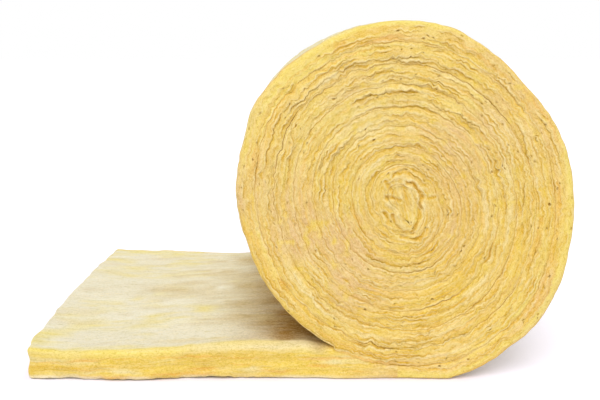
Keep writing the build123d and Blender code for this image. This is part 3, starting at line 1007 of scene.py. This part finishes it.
def worn_tail(corners):
    """The laid-out end's cut edge is a little ragged, and its near and far edges wave and lift."""
    x, y, z = corners[:, 0].copy(), corners[:, 1].copy(), corners[:, 2].copy()
    from_end = x + TAIL_LENGTH
    ragged = 0.0030 * noise(y / 0.06, z / 0.04, 71) + 0.0036 * noise(y / 0.016, z / 0.014, 72)
    bulging = 0.002 + 0.013 * (1 - (2 * y / WIDTH) ** 2)
    corners[:, 0] = x + (ragged - bulging) * (1 - smooth_step(from_end, 0.0, 0.06))
    out = smooth_step(-x, 0.06, 0.14)
    for sign, seed in ((-1, 73), (1, 75)):
        near = smooth_step(sign * y, WIDTH / 2 - 0.10, WIDTH / 2 - 0.005)
        wave = 0.0035 * noise(x / 0.12, 0.5, seed) + 0.0020 * noise(x / 0.03, z / 0.016, seed + 1)
        foot = np.interp(x, *FOOT_FLARE) * (1 - smooth_step(z, 0.0, 0.030))
        corners[:, 1] += sign * out * near * (wave + foot)
        edge = smooth_step(sign * y, WIDTH / 2 - 0.080, WIDTH / 2 - 0.005)
        jagged = 0.0014 * noise(x / 0.022, 2.5, seed + 1) + 0.0012 * noise(x / 0.009, 3.5, seed + 1)
        lift = np.clip(np.interp(x, *FOOT_LIFT) + jagged, 0, 1) * smooth_step(from_end, 0.0, 0.02)
        corners[:, 2] += out * edge * lift * (1 - smooth_step(z, 0.004, 0.03))
        top = smooth_step(z, 0.02, 0.045)
        corners[:, 2] += out * edge * top * (0.0022 * noise(x / 0.045, 4.5, seed) + 0.001 * noise(x / 0.014, 5.5, seed))
    # Towards the far edge the top no longer rises before the roll
    far = smooth_step(y, -0.05, WIDTH / 2) * smooth_step(x, -0.48, -0.28) * smooth_step(z, 0.0, 0.05)
    corners[:, 2] -= 0.012 * far * (1 - smooth_step(x, WEDGE_X - 0.03, WEDGE_X))
    corners[:, 2] = np.maximum(corners[:, 2], 0)
    return corners


# Material
def wool_material():
    """Soft fibre: the sheet's own colours with painted highlights and painted shade laid into them, dark pinholes
    painted as shade, fine streaks along it and a woolly bump.
    """
    material = bpy.data.materials.new("glass_wool")
    material.use_nodes = True
    nodes, links = material.node_tree.nodes, material.node_tree.links
    shader = nodes["Principled BSDF"]
    shader.inputs["Roughness"].default_value = 0.95
    shader.inputs["Specular IOR Level"].default_value = 0.1
    shader.inputs["Sheen Weight"].default_value = 0.06
    shader.inputs["Sheen Roughness"].default_value = 0.6
    shader.inputs["Sheen Tint"].default_value = (1.0, 0.90, 0.60, 1.0)

    tint = nodes.new("ShaderNodeAttribute")
    tint.attribute_name = "tint"
    flow = nodes.new("ShaderNodeAttribute")
    flow.attribute_name = "flow"
    place = nodes.new("ShaderNodeTexCoord")

    def texture(vector, scale, detail, roughness=0.6):
        mapping = nodes.new("ShaderNodeMapping")
        mapping.inputs["Scale"].default_value = scale
        links.new(vector, mapping.inputs["Vector"])
        node = nodes.new("ShaderNodeTexNoise")
        node.inputs["Scale"].default_value = 1.0
        node.inputs["Detail"].default_value = detail
        node.inputs["Roughness"].default_value = roughness
        links.new(mapping.outputs["Vector"], node.inputs["Vector"])
        return node.outputs["Fac"]

    def ramp(value, start, end, most=1.0):
        node = nodes.new("ShaderNodeMapRange")
        node.inputs["From Min"].default_value = start
        node.inputs["From Max"].default_value = end
        node.inputs["To Max"].default_value = most
        links.new(value, node.inputs["Value"])
        return node.outputs["Result"]

    def mixed(mode, share, first, second):
        node = nodes.new("ShaderNodeMix")
        node.data_type = "RGBA"
        node.blend_type = mode
        for socket, value in (("Factor_Float", share), ("A_Color", first), ("B_Color", second)):
            target = next(item for item in node.inputs if item.identifier == socket)
            if isinstance(value, (float, tuple)):
                target.default_value = value
            else:
                links.new(value, target)
        return next(item for item in node.outputs if item.identifier == "Result_Color")

    def total(*values):
        result = values[0]
        for value in values[1:]:
            node = nodes.new("ShaderNodeMath")
            node.operation = "ADD"
            links.new(result, node.inputs[0])
            links.new(value, node.inputs[1])
            result = node.outputs[0]
        return result

    # The streaks along the sheet wiggle a little
    wiggle = texture(flow.outputs["Vector"], (60, 45, 45), 3.0)
    split = nodes.new("ShaderNodeSeparateXYZ")
    links.new(flow.outputs["Vector"], split.inputs["Vector"])
    joined = nodes.new("ShaderNodeCombineXYZ")
    shift = nodes.new("ShaderNodeMath")
    shift.operation = "MULTIPLY_ADD"
    shift.inputs[1].default_value = 0.011
    links.new(wiggle, shift.inputs[0])
    links.new(split.outputs["Y"], shift.inputs[2])
    shift_across = nodes.new("ShaderNodeMath")
    shift_across.operation = "MULTIPLY_ADD"
    shift_across.inputs[1].default_value = 0.011
    links.new(wiggle, shift_across.inputs[0])
    links.new(split.outputs["Z"], shift_across.inputs[2])
    links.new(split.outputs["X"], joined.inputs["X"])
    links.new(shift.outputs[0], joined.inputs["Y"])
    links.new(shift_across.outputs[0], joined.inputs["Z"])
    sheet = joined.outputs["Vector"]
    streaks = texture(sheet, (36, 400, 400), 4.0, 0.65)
    hairs = texture(sheet, (140, 1300, 1300), 3.0, 0.75)
    grain = texture(place.outputs["Object"], (330, 330, 330), 5.0, 0.8)
    cream = tuple(linear(CREAM)) + (1.0,)
    colour = mixed("MIX", ramp(streaks, 0.52, 0.76, 0.6), tint.outputs["Color"], cream)
    colour = mixed("MULTIPLY", ramp(streaks, 0.50, 0.28), colour, (0.82, 0.78, 0.55, 1.0))
    colour = mixed("MULTIPLY", ramp(hairs, 0.50, 0.26), colour, (0.74, 0.70, 0.46, 1.0))
    colour = mixed("MIX", ramp(hairs, 0.52, 0.76, 0.6), colour, cream)
    colour = mixed("MULTIPLY", ramp(grain, 0.48, 0.28), colour, (0.72, 0.67, 0.40, 1.0))
    colour = mixed("MIX", ramp(grain, 0.53, 0.76, 0.6), colour, cream)
    links.new(colour, shader.inputs["Base Color"])

    bump = nodes.new("ShaderNodeBump")
    bump.inputs["Strength"].default_value = 0.6
    bump.inputs["Distance"].default_value = 0.0014
    links.new(total(streaks, hairs, grain), bump.inputs["Height"])
    links.new(bump.outputs["Normal"], shader.inputs["Normal"])
    return material


def floor():
    """A pale floor that is white to the camera and keeps the soft shadow."""
    mesh = bpy.data.meshes.new("floor")
    reach = 30.0
    mesh.from_pydata([(-reach, -reach, 0), (reach, -reach, 0), (reach, reach, 0), (-reach, reach, 0)], [], [(0, 1, 2, 3)])
    plane = bpy.data.objects.new("floor", mesh)
    bpy.context.scene.collection.objects.link(plane)
    material = bpy.data.materials.new("floor")
    material.use_nodes = True
    nodes, links = material.node_tree.nodes, material.node_tree.links
    shader = nodes["Principled BSDF"]
    shader.inputs["Base Color"].default_value = (0.90, 0.875, 1.0, 1)
    shader.inputs["Roughness"].default_value = 1.0
    shader.inputs["Specular IOR Level"].default_value = 0.0
    rays = nodes.new("ShaderNodeLightPath")
    place = nodes.new("ShaderNodeTexCoord")
    axes = nodes.new("ShaderNodeSeparateXYZ")
    links.new(place.outputs["Object"], axes.inputs["Vector"])

    def larger(first, second):
        node = nodes.new("ShaderNodeMath")
        node.operation = "MAXIMUM"
        links.new(first, node.inputs[0])
        links.new(second, node.inputs[1])
        return node.outputs[0]

    def beyond(axis, start, end):
        """0 up to the first place on this axis, rising to 1 at the second."""
        ramp = nodes.new("ShaderNodeMapRange")
        ramp.inputs["From Min"].default_value = start
        ramp.inputs["From Max"].default_value = end
        links.new(axes.outputs[axis], ramp.inputs["Value"])
        return ramp.outputs["Result"]

    edge = WIDTH / 2
    outside = larger(beyond("X", -TAIL_LENGTH - 0.004, -TAIL_LENGTH - 0.049), beyond("X", 0.03, 0.24))
    outside = larger(outside, larger(beyond("Y", -edge, -edge - 0.025), beyond("Y", edge, edge + 0.025)))
    white = nodes.new("ShaderNodeMath")
    white.operation = "MULTIPLY"
    white.inputs[1].default_value = 0.20
    links.new(outside, white.inputs[0])
    glow = nodes.new("ShaderNodeMath")
    glow.operation = "MULTIPLY"
    links.new(rays.outputs["Is Camera Ray"], glow.inputs[0])
    links.new(white.outputs[0], glow.inputs[1])
    shader.inputs["Emission Color"].default_value = (1, 1, 1, 1)
    links.new(glow.outputs[0], shader.inputs["Emission Strength"])
    mesh.materials.append(material)


def world():
    """White to the camera, and a plain soft light on everything."""
    scene = bpy.context.scene
    scene.world = bpy.data.worlds.new("world")
    scene.world.use_nodes = True
    nodes, links = scene.world.node_tree.nodes, scene.world.node_tree.links
    background = nodes["Background"]
    rays = nodes.new("ShaderNodeLightPath")
    strength = nodes.new("ShaderNodeMapRange")
    strength.inputs["To Min"].default_value = 0.64
    strength.inputs["To Max"].default_value = 1.0
    links.new(rays.outputs["Is Camera Ray"], strength.inputs["Value"])
    background.inputs["Color"].default_value = (1, 1, 1, 1)
    links.new(strength.outputs["Result"], background.inputs["Strength"])


def sun(name, direction, strength, spread):
    """An even light from this direction, its shadows softened by how widely it spreads."""
    data = bpy.data.lights.new(name, "SUN")
    data.energy = strength
    data.angle = math.radians(spread)
    light = bpy.data.objects.new(name, data)
    bpy.context.scene.collection.objects.link(light)
    light.rotation_euler = Vector([-value for value in direction]).to_track_quat("-Z", "Y").to_euler()


def camera():
    """The photograph's view: level across, looking down a little at the near end of the roll."""
    data = bpy.data.cameras.new("camera")
    data.lens = 45.9
    data.sensor_width = 36.0
    view = bpy.data.objects.new("camera", data)
    bpy.context.scene.collection.objects.link(view)
    view.location = (-0.1503, -WIDTH / 2 - 1.1089, 0.5057)
    view.rotation_euler = (math.radians(90 - 11.31), 0, 0)
    bpy.context.scene.camera = view


def main():
    scene = bpy.context.scene
    scene.view_settings.view_transform = "Standard"
    camera()
    material = wool_material()
    ledges = (near_ledges(), far_ledges())
    first_end = 0.975 * TURN
    lengths = [
        ("laid_out_end", laid_out_columns(), 60, 60, True),
        ("outer_turn", wound_columns(0, first_end), 54, 6, False),
        ("turns_2_3", wound_columns(first_end, first_end + 2 * TURN), 6, 6, False),
        ("turns_4_6", wound_columns(first_end + 2 * TURN, first_end + 5 * TURN), 6, 6, False),
        ("core_turns", wound_columns(first_end + 5 * TURN, CORE_ANGLE), 6, 6, False),
    ]
    for name, columns, outer_count, inner_count, cut_edge in lengths:
        piece = sheet_mesh("blanket_" + name, columns, outer_count, inner_count, ledges, cut_edge)
        piece.data.materials.append(material)
        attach(piece, "root")
        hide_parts(NODE)
        print(piece.name, "triangles", sum(len(face.vertices) - 2 for face in piece.data.polygons))
    floor()
    world()
    sun("key", (-0.12, -0.75, 1.05), 1.86, 40)


main()
